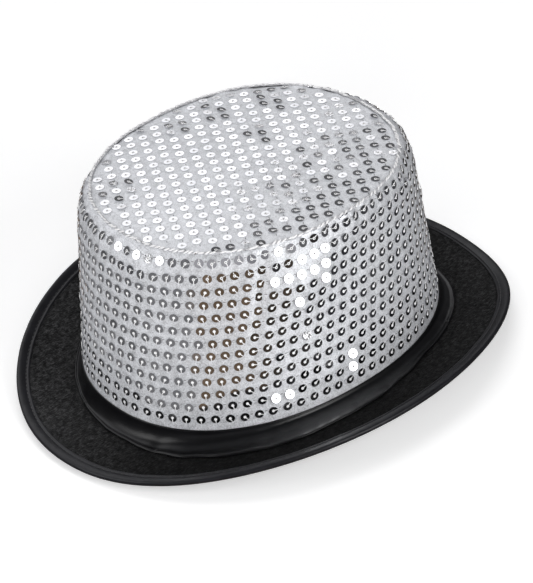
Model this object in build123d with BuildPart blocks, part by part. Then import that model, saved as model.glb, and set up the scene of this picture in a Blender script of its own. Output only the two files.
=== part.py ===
from build123d import *
import math
import os

# A low top hat for a new-year party: a soft crown covered in sequin cloth on a curled felt brim.
# Millimetres. +Z is up, the wearer faces -Y, and the hat rests on the front and back of its brim,
# so the origin is on that surface, under the middle of the hat.

# Brim, measured out to the edge of its binding
brim_half_length = 146.0
brim_half_width = 125.0
brim_side_rise = 19.0  # how far the two long sides curl up
brim_flat_half_width = 20.0  # strip from front to back that stays flat
felt_ply = 0.8  # upper and under felt of the brim
stiffener_ply = 0.5  # buckram between them
tape_thickness = 0.6  # satin binding, on each face of the brim
tape_edge = 0.8  # the same satin where it rolls round the edge
tape_width = 7.6
reed_inset = 2.2  # from the brim's edge to the plastic reed
reed_width = 3.0
reed_gap = 0.5  # between the reed's butted ends, at the back
reed_clearance = 0.4  # between the reed and the stiffener
binding_stitch_inset = 5.6  # from the brim's edge to the line of stitches

# Crown, measured over its sequin cloth
crown_half_length = 106.5  # where the wall stands on the brim
crown_half_width = 85.0
crown_wall_height = 113.6  # from the brim to the wall's top edge
crown_tip_half_length = 84.7  # at the seam between wall and tip
crown_tip_half_width = 74.9
shoulder_half_length = 96.2  # where the wall starts to round over
shoulder_half_width = 78.0
shoulder_drop = 22.5  # height over which it rounds over
crown_squareness = 2.2  # exponent of the oval; 2 is an ellipse
cloth_thickness = 0.8
wall_felt = 2.0
tip_felt = 1.5
tip_rise = 2.5  # the tip is domed by this much
tip_felt_inset = 1.2  # leaves room for the seam thread round the tip

# Sequins
sequin_diameter = 5.0
sequin_hole = 1.6
sequin_thickness = 0.3
sequin_seat = 0.2  # stands off the cloth by this much
sequins_per_row = 77
row_pitch = 7.76
row_lean = 1.45  # each row is set along by this much from the one below
first_row = 6.3  # above the hat band
tip_pitch = 7.83
tip_row_angle = -26.5  # degrees, of the rows across the tip
edge_clearance = 0.5  # from a seam to the rim of the nearest sequin

# Hat band, a satin ribbon with its lower edge turned out onto the brim
band_height = 12.8  # above the brim, at front and back
band_thickness = 0.8
band_foot_width = 8.0
band_foot_height = 2.2
band_lap_width = 14.0
band_lap_offset = 14.0  # from the middle of the wearer's left side towards the back
band_tacks = 10
first_tack_angle = 4.6  # degrees, from the wearer's right side
tack_length = 2.4
tack_height = 0.8
tack_thickness = 0.5

# Sweatband
sweatband_height = 28.0
sweatband_thickness = 1.0
sweatband_stitch_height = 5.0

# Sewing threads
thread = 0.5
head_seam_thread_size = 1.2
stitch_length = 2.6
stitch_pitch = 4.0
stitch_thickness = 0.4

# Heights that follow from the values above
under_felt_bottom = tape_thickness
stiffener_bottom = under_felt_bottom + felt_ply
upper_felt_bottom = stiffener_bottom + stiffener_ply
brim_top = upper_felt_bottom + felt_ply
binding_top = brim_top + tape_thickness
wall_top = brim_top + crown_wall_height
shoulder_height = wall_top - shoulder_drop
band_top = brim_top + band_height
tip_cloth_bottom = wall_top + tip_felt
tip_top = tip_cloth_bottom + cloth_thickness
felt_inner_inset = cloth_thickness + wall_felt  # from the cloth's outer face to the felt's inner face
sweatband_inner_inset = felt_inner_inset + sweatband_thickness
edge_margin = sequin_diameter / 2 + edge_clearance  # from a seam to the nearest sequin's centre

oval_points = 32
shoulder_slices = 4
dome_slices = 6
dome_slice_shrink = 0.18  # each slice of a dome is smaller by this share of its edge
over = 10.0  # how far cutting shapes run past what they cut
wall_heights = [0.0, shoulder_height]
for slice_number in range(1, shoulder_slices + 1):
    quarter_turn = math.pi / 2 * slice_number / shoulder_slices
    wall_heights.append(shoulder_height + shoulder_drop * math.sin(quarter_turn))


def oval_point(half_length, half_width, angle):
    """Point of the crown's oval, which is a little squarer than an ellipse."""
    x = math.copysign(abs(math.cos(angle)) ** (2 / crown_squareness), math.cos(angle))
    y = math.copysign(abs(math.sin(angle)) ** (2 / crown_squareness), math.sin(angle))
    return Vector(half_width * x, half_length * y)


def oval(half_length, half_width):
    """The flat face inside the crown's oval."""
    points = []
    for step in range(oval_points):
        points.append(oval_point(half_length, half_width, 2 * math.pi * step / oval_points))
    with BuildSketch() as shape:
        with BuildLine():
            Spline(*points, periodic=True)
        make_face()
    return shape.sketch


def crown_size(height):
    """Half length and half width over the cloth, at a height above the floor."""
    if height <= shoulder_height:
        share = (height - brim_top) / (shoulder_height - brim_top)
        half_length = crown_half_length + share * (shoulder_half_length - crown_half_length)
        half_width = crown_half_width + share * (shoulder_half_width - crown_half_width)
        return half_length, half_width
    rise = min(1.0, (height - shoulder_height) / shoulder_drop)
    share = math.sqrt(1 - rise**2)
    half_length = crown_tip_half_length + share * (shoulder_half_length - crown_tip_half_length)
    half_width = crown_tip_half_width + share * (shoulder_half_width - crown_tip_half_width)
    return half_length, half_width


def crown_oval(height, inset):
    """The crown's oval at a height, drawn in from the cloth's outer face."""
    half_length, half_width = crown_size(height)
    return oval(half_length - inset, half_width - inset)


def wall_layer(outer_inset, inner_inset, heights):
    """A layer of the crown's wall, between two insets from the cloth's outer face."""
    with BuildPart() as layer:
        for height in heights:
            with BuildSketch(Plane.XY.offset(height)):
                add(crown_oval(height, outer_inset))
                add(crown_oval(height, inner_inset), mode=Mode.SUBTRACT)
        loft(ruled=True)
    return layer.part


def bend_height(across):
    """How far the brim has curled up at a distance from its middle line."""
    share = max(0.0, abs(across) - brim_flat_half_width) / (brim_half_width - brim_flat_half_width)
    return brim_side_rise * share**2


def bent_sheet(bottom, thickness):
    """A sheet wider than the brim, flat along the middle and curling up to both sides."""
    edge = brim_half_width + over
    bend = (brim_flat_half_width + edge) / 2
    top = bottom + thickness
    with BuildPart() as sheet:
        with BuildSketch(Plane.XZ):
            with BuildLine():
                Line((-brim_flat_half_width, bottom), (brim_flat_half_width, bottom))
                Bezier((brim_flat_half_width, bottom), (bend, bottom), (edge, bottom + bend_height(edge)))
                Line((edge, bottom + bend_height(edge)), (edge, top + bend_height(edge)))
                Bezier((edge, top + bend_height(edge)), (bend, top), (brim_flat_half_width, top))
                Line((brim_flat_half_width, top), (-brim_flat_half_width, top))
                Bezier((-brim_flat_half_width, top), (-bend, top), (-edge, top + bend_height(edge)))
                Line((-edge, top + bend_height(edge)), (-edge, bottom + bend_height(edge)))
                Bezier((-edge, bottom + bend_height(edge)), (-bend, bottom), (-brim_flat_half_width, bottom))
            make_face()
        extrude(amount=brim_half_length + over, both=True)
    return sheet.part


def brim_ring(bottom, thickness, outer_inset, inner_inset):
    """A band of the brim between two insets from its edge."""
    with BuildPart() as ring:
        with BuildSketch(Plane.XY.offset(-over)):
            Ellipse(brim_half_width - outer_inset, brim_half_length - outer_inset)
            Ellipse(brim_half_width - inner_inset, brim_half_length - inner_inset, mode=Mode.SUBTRACT)
        extrude(amount=brim_side_rise + binding_top + 2 * over)
        add(bent_sheet(bottom, thickness), mode=Mode.INTERSECT)
    return ring.part


def brim_ply(bottom, thickness, edge_inset):
    """A ply of the brim, from an inset at its edge in to the head opening."""
    with BuildPart() as ply:
        with BuildSketch(Plane.XY.offset(-over)):
            Ellipse(brim_half_width - edge_inset, brim_half_length - edge_inset)
            add(crown_oval(0, felt_inner_inset), mode=Mode.SUBTRACT)
        extrude(amount=brim_side_rise + binding_top + 2 * over)
        add(bent_sheet(bottom, thickness), mode=Mode.INTERSECT)
    return ply.part


def dome(bottom, edge_height, inset):
    """A domed oval plug under the tip: a straight edge, then a shallow rise to the middle."""
    half_length = crown_tip_half_length - inset
    half_width = crown_tip_half_width - inset
    with BuildPart() as plug:
        if edge_height > 0:
            with BuildSketch(Plane.XY.offset(bottom)):
                add(oval(half_length, half_width))
        for step in range(dome_slices):
            size = 1 - dome_slice_shrink * step
            with BuildSketch(Plane.XY.offset(bottom + edge_height + tip_rise * (1 - size**2))):
                add(oval(half_length * size, half_width * size))
        loft(ruled=True)
    return plug.part


# What lies below the brim's upper face and its underside, to trim what stands on or in it
below_brim_top = bent_sheet(-brim_side_rise - over, brim_top + brim_side_rise + over)
below_underside = bent_sheet(-brim_side_rise - over, under_felt_bottom + brim_side_rise + over)

# Brim: felt, stiffener, felt, with a plastic reed round the edge inside the binding
with BuildPart() as brim_under_felt:
    add(brim_ply(under_felt_bottom, felt_ply, tape_edge))

with BuildPart() as brim_stiffener:
    add(brim_ply(stiffener_bottom, stiffener_ply, reed_inset + reed_width + reed_clearance))

with BuildPart() as brim_upper_felt:
    add(brim_ply(upper_felt_bottom, felt_ply, tape_edge))

with BuildPart() as brim_edge_reed:
    add(brim_ring(stiffener_bottom, stiffener_ply, reed_inset, reed_inset + reed_width))
    with BuildSketch():
        with Locations((0, brim_half_length)):
            Rectangle(reed_gap, 2 * (reed_inset + reed_width + over))
    extrude(amount=brim_top, mode=Mode.SUBTRACT)

# The stitches lie flush in the binding, on the upper face and on the underside
with BuildPart() as brim_binding_thread:
    for height in (binding_top - stitch_thickness, 0.0):
        add(brim_ring(height, stitch_thickness, binding_stitch_inset, binding_stitch_inset + thread))

with BuildPart() as brim_binding:
    add(brim_ring(0.0, binding_top, 0.0, tape_width))
    plies = brim_top - under_felt_bottom
    add(brim_ring(under_felt_bottom, plies, tape_edge, tape_width + over), mode=Mode.SUBTRACT)
    add(brim_binding_thread.part, mode=Mode.SUBTRACT)

# Crown: stiff felt inside, sequin cloth over it
with BuildPart() as crown_side_felt:
    add(wall_layer(cloth_thickness, felt_inner_inset, wall_heights))
    add(below_brim_top, mode=Mode.SUBTRACT)

with BuildPart() as side_sequin_cloth:
    add(wall_layer(0.0, cloth_thickness, wall_heights))
    add(below_brim_top, mode=Mode.SUBTRACT)

with BuildPart() as crown_tip_felt:
    add(dome(wall_top, tip_felt, tip_felt_inset))
    add(dome(wall_top, 0.0, tip_felt_inset), mode=Mode.SUBTRACT)

with BuildPart() as tip_sequin_cloth:
    add(dome(tip_cloth_bottom, cloth_thickness, 0.0))
    add(dome(tip_cloth_bottom, 0.0, 0.0), mode=Mode.SUBTRACT)

# The thread that gathers the tip to the wall fills the step round the tip felt
with BuildPart() as tip_seam_thread:
    with BuildSketch(Plane.XY.offset(wall_top)):
        add(crown_oval(wall_top, 0.0))
        add(crown_oval(wall_top, tip_felt_inset), mode=Mode.SUBTRACT)
    extrude(amount=tip_felt)

# Sequins, in rows round the wall and in straight rows across the tip
with BuildPart() as sequin:
    with BuildSketch():
        Circle(sequin_diameter / 2)
        Circle(sequin_hole / 2, mode=Mode.SUBTRACT)
    extrude(amount=sequin_thickness)

side_places = []
row_height = band_top + first_row
row_number = 0
while row_height < wall_top - edge_margin:
    outline = crown_oval(row_height, 0.0).edge()
    half_length, half_width = crown_size(row_height)
    slope = half_length - crown_size(row_height + 1)[0]
    for number in range(sequins_per_row):
        along = (number / sequins_per_row + row_number * row_lean / outline.length) % 1
        point = outline @ along
        outward = (outline % along).cross(Vector(0, 0, 1))
        face = Vector(outward.X, outward.Y, slope).normalized()
        if not (point.Y > 0 and abs(point.X) < edge_margin):
            seat = Vector(point.X, point.Y, row_height) + face * sequin_seat
            side_places.append(Plane(origin=seat, z_dir=face))
    row_height += row_pitch
    row_number += 1

with BuildPart() as side_sequins:
    with Locations(*side_places):
        add(sequin.part, clean=False)

tip_places = []
tip_reach = math.ceil(crown_tip_half_length / tip_pitch) + 1
turn = math.radians(tip_row_angle)
for row in range(-tip_reach, tip_reach + 1):
    for number in range(-tip_reach, tip_reach + 1):
        along = number * tip_pitch
        across = row * tip_pitch
        x = along * math.cos(turn) - across * math.sin(turn)
        y = along * math.sin(turn) + across * math.cos(turn)
        reach = (abs(x) / (crown_tip_half_width - edge_margin)) ** crown_squareness
        reach += (abs(y) / (crown_tip_half_length - edge_margin)) ** crown_squareness
        if reach < 1:
            share = reach ** (2 / crown_squareness)
            tip_places.append((x, y, tip_top + tip_rise * (1 - share) + sequin_seat))

with BuildPart() as tip_sequins:
    with Locations(*tip_places):
        add(sequin.part, clean=False)

# Hat band, with the stitches that join crown and brim hidden under its foot
with BuildPart() as head_seam_thread:
    add(wall_layer(-head_seam_thread_size, 0.0, [0.0, band_top]))
    add(bent_sheet(brim_top, head_seam_thread_size), mode=Mode.INTERSECT)

with BuildPart() as hat_band:
    add(wall_layer(-band_thickness, 0.0, [0.0, band_top]))
    add(wall_layer(-band_foot_width, 0.0, [0.0, band_top]) & bent_sheet(brim_top, band_foot_height))
    add(below_brim_top, mode=Mode.SUBTRACT)
    add(head_seam_thread.part, mode=Mode.SUBTRACT)

# The ribbon's ends lap at the wearer's left, a little behind the middle
with BuildPart() as hat_band_lap:
    add(wall_layer(-2 * band_thickness, -band_thickness, [0.0, band_top]))
    with BuildSketch():
        with Locations((-crown_half_width, band_lap_offset)):
            Rectangle(crown_half_width, band_lap_width)
    extrude(amount=band_top, mode=Mode.INTERSECT)
    below_foot_top = bent_sheet(-brim_side_rise - over, brim_top + band_foot_height + brim_side_rise + over)
    add(below_foot_top, mode=Mode.SUBTRACT)

band_half_length = crown_size(band_top)[0] + band_thickness
band_half_width = crown_size(band_top)[1] + band_thickness
with BuildPart() as hat_band_tacks:
    for number in range(band_tacks):
        angle = math.radians(first_tack_angle + number * 360 / band_tacks)
        half_turn = tack_length / band_half_length / 2
        start = oval_point(band_half_length, band_half_width, angle - half_turn)
        end = oval_point(band_half_length, band_half_width, angle + half_turn)
        outward = (end - start).cross(Vector(0, 0, 1)).normalized()
        seat = (start + end) / 2 + outward * (tack_thickness / 2) + Vector(0, 0, band_top - tack_height)
        with BuildSketch(Plane(origin=seat, x_dir=(0, 0, 1), z_dir=outward)):
            Rectangle(tack_height, tack_length)
        extrude(amount=tack_thickness)

# Seam up the back of the side cloth
with BuildPart() as side_back_seam_thread:
    stitch_height = band_top + stitch_pitch
    while stitch_height < shoulder_height:
        back = crown_size(stitch_height)[0]
        with BuildSketch(Plane(origin=(0, back, stitch_height), z_dir=(0, 1, 0))):
            Rectangle(stitch_length, thread)
        extrude(amount=stitch_thickness)
        stitch_height += stitch_pitch

# Sweatband
with BuildPart() as sweatband:
    add(wall_layer(felt_inner_inset, sweatband_inner_inset, [0.0, brim_top + sweatband_height]))
    add(below_underside, mode=Mode.SUBTRACT)

with BuildPart() as sweatband_thread:
    stitch_inset = sweatband_inner_inset + stitch_thickness
    add(wall_layer(sweatband_inner_inset, stitch_inset, [0.0, brim_top + sweatband_height]))
    add(bent_sheet(under_felt_bottom + sweatband_stitch_height, thread), mode=Mode.INTERSECT)

# One file for each piece
pieces = {
    "brim_under_felt": brim_under_felt,
    "brim_stiffener": brim_stiffener,
    "brim_upper_felt": brim_upper_felt,
    "brim_edge_reed": brim_edge_reed,
    "brim_binding": brim_binding,
    "brim_binding_thread": brim_binding_thread,
    "crown_side_felt": crown_side_felt,
    "crown_tip_felt": crown_tip_felt,
    "side_sequin_cloth": side_sequin_cloth,
    "tip_sequin_cloth": tip_sequin_cloth,
    "tip_seam_thread": tip_seam_thread,
    "side_back_seam_thread": side_back_seam_thread,
    "side_sequins": side_sequins,
    "tip_sequins": tip_sequins,
    "head_seam_thread": head_seam_thread,
    "hat_band": hat_band,
    "hat_band_lap": hat_band_lap,
    "hat_band_tacks": hat_band_tacks,
    "sweatband": sweatband,
    "sweatband_thread": sweatband_thread,
}

os.makedirs("parts", exist_ok=True)
for name, piece in pieces.items():
    piece.part.label = name
    export_step(piece.part, f"parts/{name}.step")
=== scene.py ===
import bpy
import math
import random
from mathutils import Matrix, Vector, noise


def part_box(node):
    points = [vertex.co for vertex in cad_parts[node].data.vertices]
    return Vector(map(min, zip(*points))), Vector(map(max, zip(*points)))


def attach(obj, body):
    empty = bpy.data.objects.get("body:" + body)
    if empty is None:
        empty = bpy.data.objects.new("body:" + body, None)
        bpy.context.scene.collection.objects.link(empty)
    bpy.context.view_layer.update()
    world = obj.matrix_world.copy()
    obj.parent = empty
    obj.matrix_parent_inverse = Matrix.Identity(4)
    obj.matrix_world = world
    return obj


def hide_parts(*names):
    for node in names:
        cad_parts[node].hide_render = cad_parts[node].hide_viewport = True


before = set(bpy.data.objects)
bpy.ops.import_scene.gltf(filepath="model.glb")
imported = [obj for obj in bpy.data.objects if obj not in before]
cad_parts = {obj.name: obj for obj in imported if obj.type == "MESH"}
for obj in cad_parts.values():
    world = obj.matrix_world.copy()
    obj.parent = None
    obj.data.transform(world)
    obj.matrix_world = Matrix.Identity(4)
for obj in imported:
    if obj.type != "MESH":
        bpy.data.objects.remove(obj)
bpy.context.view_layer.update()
random.seed(31)
mm = 0.001
fullTurn = 2 * math.pi

# Where things are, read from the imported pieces
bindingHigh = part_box("brim_binding")[1]
clothLow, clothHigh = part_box("side_sequin_cloth")
tipLow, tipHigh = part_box("tip_sequin_cloth")
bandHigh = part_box("hat_band")[1]
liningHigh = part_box("sweatband")[1]
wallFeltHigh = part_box("crown_side_felt")[1]

brim = {
    "halfLength": bindingHigh[1],
    "halfWidth": bindingHigh[0],
    "flatHalfWidth": 20 * mm,
    "top": clothLow[2],
    "tape": 0.6 * mm,
    "felt": 0.8 * mm,
    "frontLift": 1.9 * mm,
    "cornerLift": 2.0 * mm,
    # the rear corner on the wearer's right stands higher and further out
    "backCornerLift": 2.6 * mm,
    "backCornerReach": 2.6 * mm,
}
brim["rise"] = bindingHigh[2] - brim["top"] - brim["tape"]

crown = {
    "squareness": 2.2,
    "foot": clothLow[2],
    "footHalfLength": clothHigh[1],
    "footHalfWidth": clothHigh[0] + 0.55 * mm,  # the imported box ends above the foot
    "meanRadius": 85 * mm,
    "shoulderHalfLength": 96.2 * mm,
    "shoulderHalfWidth": 78.0 * mm,
    "shoulderDrop": 23.7 * mm,
    "seam": tipLow[2] + 0.8 * mm,
    "tipHalfLength": tipHigh[1],
    "tipHalfWidth": tipHigh[0],
    "tipRise": tipHigh[2] - tipLow[2] - 0.8 * mm,
    "cloth": 0.8 * mm,  # how thick it is
}
crown["shoulder"] = crown["seam"] - crown["shoulderDrop"]
upward = Vector((0, 0, 1))


# From the hat towards something, with the azimuth turning from the front to the wearer's right
def wayTo(azimuth, elevation):
    azimuth, elevation = math.radians(azimuth), math.radians(elevation)
    flat = math.cos(elevation)
    return Vector((math.sin(azimuth) * flat, -math.cos(azimuth) * flat, math.sin(elevation)))


def outwardFrom(point):
    return Vector((point.x, point.y, 0)).normalized()


def clearSelection():
    if bpy.context.object and bpy.context.object.mode != "OBJECT":
        bpy.ops.object.mode_set(mode="OBJECT")
    bpy.ops.object.select_all(action="DESELECT")


def makeActive(piece):
    clearSelection()
    piece.select_set(True)
    bpy.context.view_layer.objects.active = piece


def applyModifier(piece, kind, **settings):
    makeActive(piece)
    modifier = piece.modifiers.new(kind.title(), kind)
    for key, value in settings.items():
        setattr(modifier, key, value)
    bpy.ops.object.modifier_apply(modifier=modifier.name)


def mergeDoubles(piece, distance=1e-6):
    makeActive(piece)
    bpy.ops.object.mode_set(mode="EDIT")
    bpy.ops.mesh.select_all(action="SELECT")
    bpy.ops.mesh.remove_doubles(threshold=distance)
    bpy.ops.object.mode_set(mode="OBJECT")


def finishPiece(piece, smoothness, slot, material, nodes=()):
    makeActive(piece)
    bpy.ops.object.shade_smooth_by_angle(angle=math.radians(smoothness))
    piece.data.materials.clear()
    piece.data.materials.append(material)
    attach(piece, "root")
    if nodes:
        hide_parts(*nodes)


# A flat grid is wrapped round the hat: across it goes round, up it goes along the section
def wrapGrid(name, around, up, lay):
    clearSelection()
    bpy.ops.mesh.primitive_grid_add(x_subdivisions=around, y_subdivisions=up, size=2)
    sheet = bpy.context.object
    sheet.name = name
    for vertex in sheet.data.vertices:
        turn = (vertex.co.x + 1) / 2
        vertex.co = lay((turn % 1) * fullTurn, (vertex.co.y + 1) / 2)
    mergeDoubles(sheet)
    return sheet


# A closed section, given outer face upwards first, carried round the hat
def ringSolid(name, around, section, lay):
    count = len(section)

    def laySection(angle, share):
        out, up = section[round(share * count) % count]
        return lay(angle, out, up)

    return wrapGrid(name, around, count, laySection)


def ovalPoint(halfLength, halfWidth, angle, squareness=2.0):
    c, s = math.cos(angle), math.sin(angle)
    x = math.copysign(abs(c) ** (2 / squareness), c) * halfWidth
    y = math.copysign(abs(s) ** (2 / squareness), s) * halfLength
    return x, y


# The oval's own angle for a bearing seen from above, both from the wearer's right
def ovalAngle(degrees):
    bearing = math.radians(degrees)
    across = abs(math.cos(bearing) / crown["footHalfWidth"]) ** (crown["squareness"] / 2)
    along = abs(math.sin(bearing) / crown["footHalfLength"]) ** (crown["squareness"] / 2)
    return math.atan2(math.copysign(along, bearing), math.copysign(across, math.cos(bearing)))


def ovalNormal(halfLength, halfWidth, x, y, squareness):
    nx = math.copysign(abs(x / halfWidth) ** (squareness - 1) / halfWidth, x)
    ny = math.copysign(abs(y / halfLength) ** (squareness - 1) / halfLength, y)
    length = math.hypot(nx, ny)
    return nx / length, ny / length


# The brim curls up at both sides, and a little more at the front and the corners
def brimLift(x, y):
    bent = brim["halfWidth"] - brim["flatHalfWidth"]
    share = max(0.0, abs(x) - brim["flatHalfWidth"]) / bent
    across, along = x / brim["halfWidth"], y / brim["halfLength"]
    lift = brim["rise"] * share**2 + brim["frontLift"] * max(0.0, -along) ** 4
    corner = brim["cornerLift"]
    if across > 0 and along > 0:
        corner += brim["backCornerLift"]
    return lift + 4 * corner * (across * along) ** 2


def brimOutline(angle, inset):
    x, y = ovalPoint(brim["halfLength"] - inset, brim["halfWidth"] - inset, angle)
    reach = brim["backCornerReach"] * math.sin(2 * angle) ** 2 if x > 0 and y > 0 else 0.0
    return x + reach * math.cos(angle), y + reach * math.sin(angle)


def crownSize(height):
    if height <= crown["shoulder"]:
        low, high = "foot", "shoulder"
        share = (height - crown["foot"]) / (crown["shoulder"] - crown["foot"])
    else:
        low, high = "tip", "shoulder"
        rise = min(1.0, (height - crown["shoulder"]) / crown["shoulderDrop"])
        share = math.sqrt(1 - rise * rise)
    return tuple(
        crown[low + half] + share * (crown[high + half] - crown[low + half])
        for half in ("HalfLength", "HalfWidth")
    )


def crownPoint(angle, height, out=0.0):
    halfLength, halfWidth = crownSize(height)
    x, y = ovalPoint(halfLength, halfWidth, angle, crown["squareness"])
    nx, ny = ovalNormal(halfLength, halfWidth, x, y, crown["squareness"])
    return Vector((x + nx * out, y + ny * out, height))


# How far up the wall's surface, where 1 is the seam round the tip; the shoulder is a quarter turn
wallStraight = crown["shoulder"] - crown["foot"]
wallRound = crown["shoulderDrop"] * 1.12


def wallHeight(share):
    run = share * (wallStraight + wallRound)
    if run < wallStraight:
        return crown["foot"] + run
    turn = math.pi / 2 * (run - wallStraight) / wallRound
    return crown["shoulder"] + crown["shoulderDrop"] * math.sin(turn)


def wallShare(height):
    if height < crown["shoulder"]:
        return (height - crown["foot"]) / (wallStraight + wallRound)
    rise = min(1.0, (height - crown["shoulder"]) / crown["shoulderDrop"])
    turn = math.asin(rise) / (math.pi / 2)
    return (wallStraight + turn * wallRound) / (wallStraight + wallRound)


camera = {
    "azimuth": 54.47,
    "elevation": 34.35,
    "roll": 6.43,
    "distance": 1.4106,
    "lens": 158.43,
    "sensor": 36,
    # how far the hat's axis is off the middle, as shares of the longer side of the view
    "aimX": 12.8 / 583,
    "aimY": -43.0 / 583,
    "height": 0.064,
}


def makeCamera():
    back = wayTo(camera["azimuth"], camera["elevation"])
    azimuth, roll = math.radians(camera["azimuth"]), math.radians(camera["roll"])
    level = Vector((math.cos(azimuth), math.sin(azimuth), 0))
    above = back.cross(level)
    right = level * math.cos(roll) - above * math.sin(roll)
    up = level * math.sin(roll) + above * math.cos(roll)
    focal = camera["lens"] / camera["sensor"]
    ahead = -back + right * (camera["aimX"] / focal) + up * (camera["aimY"] / focal)
    ahead.normalize()
    side = ahead.cross(up).normalized()
    turn = Matrix((side, side.cross(ahead), -ahead)).transposed()
    place = Vector((0, 0, camera["height"])) + back * camera["distance"]
    clearSelection()
    bpy.ops.object.camera_add()
    view = bpy.context.object
    view.matrix_world = Matrix.Translation(place) @ turn.to_4x4()
    view.data.lens = camera["lens"]
    view.data.sensor_width = camera["sensor"]
    view.data.clip_end = 50
    bpy.context.scene.camera = view


makeCamera()
print("camera set")


# A material with its main shader and the coordinates of its object
def newMaterial(name, **values):
    material = bpy.data.materials.new(name)
    material.use_nodes = True
    shader = material.node_tree.nodes["Principled BSDF"]
    for key, value in values.items():
        shader.inputs[key.replace("_", " ")].default_value = value
    return material, shader, addNode(shader, "ShaderNodeTexCoord").outputs["Object"]


# A node in the same tree as the given node or socket
def addNode(near, kind, **values):
    node = near.id_data.nodes.new(kind)
    for key, value in values.items():
        if key in node.inputs:
            node.inputs[key].default_value = value
        else:
            setattr(node, key, value)
    return node


def join(source, socket):
    source.id_data.links.new(source, socket)


def addNoise(place, **values):
    texture = addNode(place, "ShaderNodeTexNoise", **values)
    join(place, texture.inputs["Vector"])
    return texture.outputs["Fac"]


def addMix(first, second, factor):
    mix = addNode(first, "ShaderNodeMix", data_type="FLOAT")
    mix.inputs["Factor"].default_value = factor
    join(first, mix.inputs["A"])
    join(second, mix.inputs["B"])
    return mix.outputs["Result"]


def addBump(shader, height, strength, distance, below=None):
    bump = addNode(shader, "ShaderNodeBump", Strength=strength, Distance=distance)
    join(height, bump.inputs["Height"])
    if below:
        join(below.outputs["Normal"], bump.inputs["Normal"])
    join(bump.outputs["Normal"], shader.inputs["Normal"])
    return bump


def addRamp(factor, stops):
    ramp = addNode(factor, "ShaderNodeValToRGB")
    while len(ramp.color_ramp.elements) < len(stops):
        ramp.color_ramp.elements.new(0.5)
    for element, (place, color) in zip(ramp.color_ramp.elements, stops):
        element.position = place
        element.color = (*color, 1)
    join(factor, ramp.inputs["Fac"])
    return ramp.outputs["Color"]


def tint(shader, factor, stops):
    join(addRamp(factor, stops), shader.inputs["Base Color"])


def greyTone(tone):
    return (tone, tone, tone)


def silverClothMaterial(name, metallic, tones):
    material, shader, place = newMaterial(
        name, Metallic=metallic, Roughness=0.45, Anisotropic=0.75, Anisotropic_Rotation=0.25
    )
    mottle = addNoise(place, Scale=260.0, Detail=6.0, Roughness=0.6)
    fine = addNoise(place, Scale=1300.0, Detail=3.0)
    speckle = addMix(mottle, fine, 0.55)
    coolTones = [(tone * 0.985, tone, tone * 1.04) for tone in tones]
    tint(shader, speckle, list(zip((0.38, 0.5, 0.62), coolTones)))
    coarse = addBump(shader, mottle, 0.5, 0.7 * mm)
    addBump(shader, fine, 0.8, 0.4 * mm, coarse)
    return material


def sequinMaterial():
    material, shader, place = newMaterial("mirrorSequin", Metallic=1.0, Roughness=0.09)
    each = addNode(shader, "ShaderNodeAttribute", attribute_name="tone").outputs["Fac"]
    tint(shader, each, [(0.0, (0.70, 0.71, 0.73)), (1.0, (0.94, 0.94, 0.95))])
    dents = addNoise(place, Scale=500.0, Detail=1.0)
    addBump(shader, dents, 0.08, 0.4 * mm)
    return material


# A matt material whose grain sets both its tone and its relief
def grainMaterial(name, dark, light, grain, strength, depth, **values):
    material, shader, place = newMaterial(name, **values)
    noises = addNoise(place, Scale=grain, Detail=2.0)
    tint(shader, noises, [(0.3, dark), (0.7, light)])
    addBump(shader, noises, strength, depth)
    return material


def threadMaterial(name, dark, light, roughness):
    return grainMaterial(
        name, dark, light, 2200.0, 0.5, 0.2 * mm, Roughness=roughness, Sheen_Weight=0.2
    )


def plainWeaveMaterial(name, dark, light):
    return grainMaterial(name, dark, light, 900.0, 0.4, 0.3 * mm, Roughness=0.8)


def feltMaterial():
    material, shader, place = newMaterial(
        "brushedFeltWithPaintedShade", Roughness=0.92, Specular_IOR_Level=0.06, Sheen_Weight=0.012, Sheen_Roughness=0.4
    )
    brushed = addNode(
        shader, "ShaderNodeMapping", Rotation=(0, 0, math.radians(28)), Scale=(2600, 360, 900)
    )
    join(place, brushed.inputs["Vector"])
    fibres = addNoise(
        brushed.outputs["Vector"], Scale=1.0, Detail=5.0, Roughness=0.75, Distortion=0.8
    )
    clumps = addNoise(place, Scale=420.0, Detail=4.0, Roughness=0.7)
    hairs = addMix(fibres, clumps, 0.35)
    stops = [(0.40, (0.003, 0.003, 0.0033)), (0.5, (0.024, 0.024, 0.0245)), (0.6, (0.088, 0.088, 0.09))]
    tone = addRamp(hairs, stops)
    # painted shade: the felt's colour is multiplied by a grey that is lighter towards the front left
    # and darker elsewhere, painting how the light falls on the felt
    lie = addNode(shader, "ShaderNodeVectorMath", operation="DOT_PRODUCT")
    join(place, lie.inputs[0])
    lie.inputs[1].default_value = (0.58, 0.81, 0)
    spread = addNode(shader, "ShaderNodeMapRange")
    spread.inputs["From Min"].default_value = -0.15
    spread.inputs["From Max"].default_value = 0.15
    join(lie.outputs["Value"], spread.inputs["Value"])
    shadeShares = [(0.0, 1), (0.12, 0.85), (0.26, 0.35), (0.42, 0.18), (0.7, 0.24), (1.0, 0.75)]
    paintedFeltShade = [(stop, greyTone(share)) for stop, share in shadeShares]
    paintedFeltShade = addRamp(spread.outputs["Result"], paintedFeltShade)
    shaded = addNode(shader, "ShaderNodeMix", data_type="RGBA", blend_type="MULTIPLY")
    shaded.inputs["Factor"].default_value = 1.0
    join(tone, shaded.inputs[6])
    join(paintedFeltShade, shaded.inputs[7])
    join(shaded.outputs[2], shader.inputs["Base Color"])
    addBump(shader, hairs, 0.8, 1.2 * mm)
    return material


def satinMaterial(name, color, roughness, gloss):
    material, shader, place = newMaterial(name, Roughness=roughness, Specular_IOR_Level=gloss)
    weave = addNoise(place, Scale=2400.0, Detail=3.0)
    slub = addNoise(place, Scale=90.0, Detail=3.0)
    light = tuple(part * 1.7 for part in color)
    tint(shader, slub, [(0.35, color), (0.7, light)])
    first = addBump(shader, weave, 0.25, 0.2 * mm)
    addBump(shader, slub, 0.15, 1.5 * mm, first)
    return material


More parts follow.
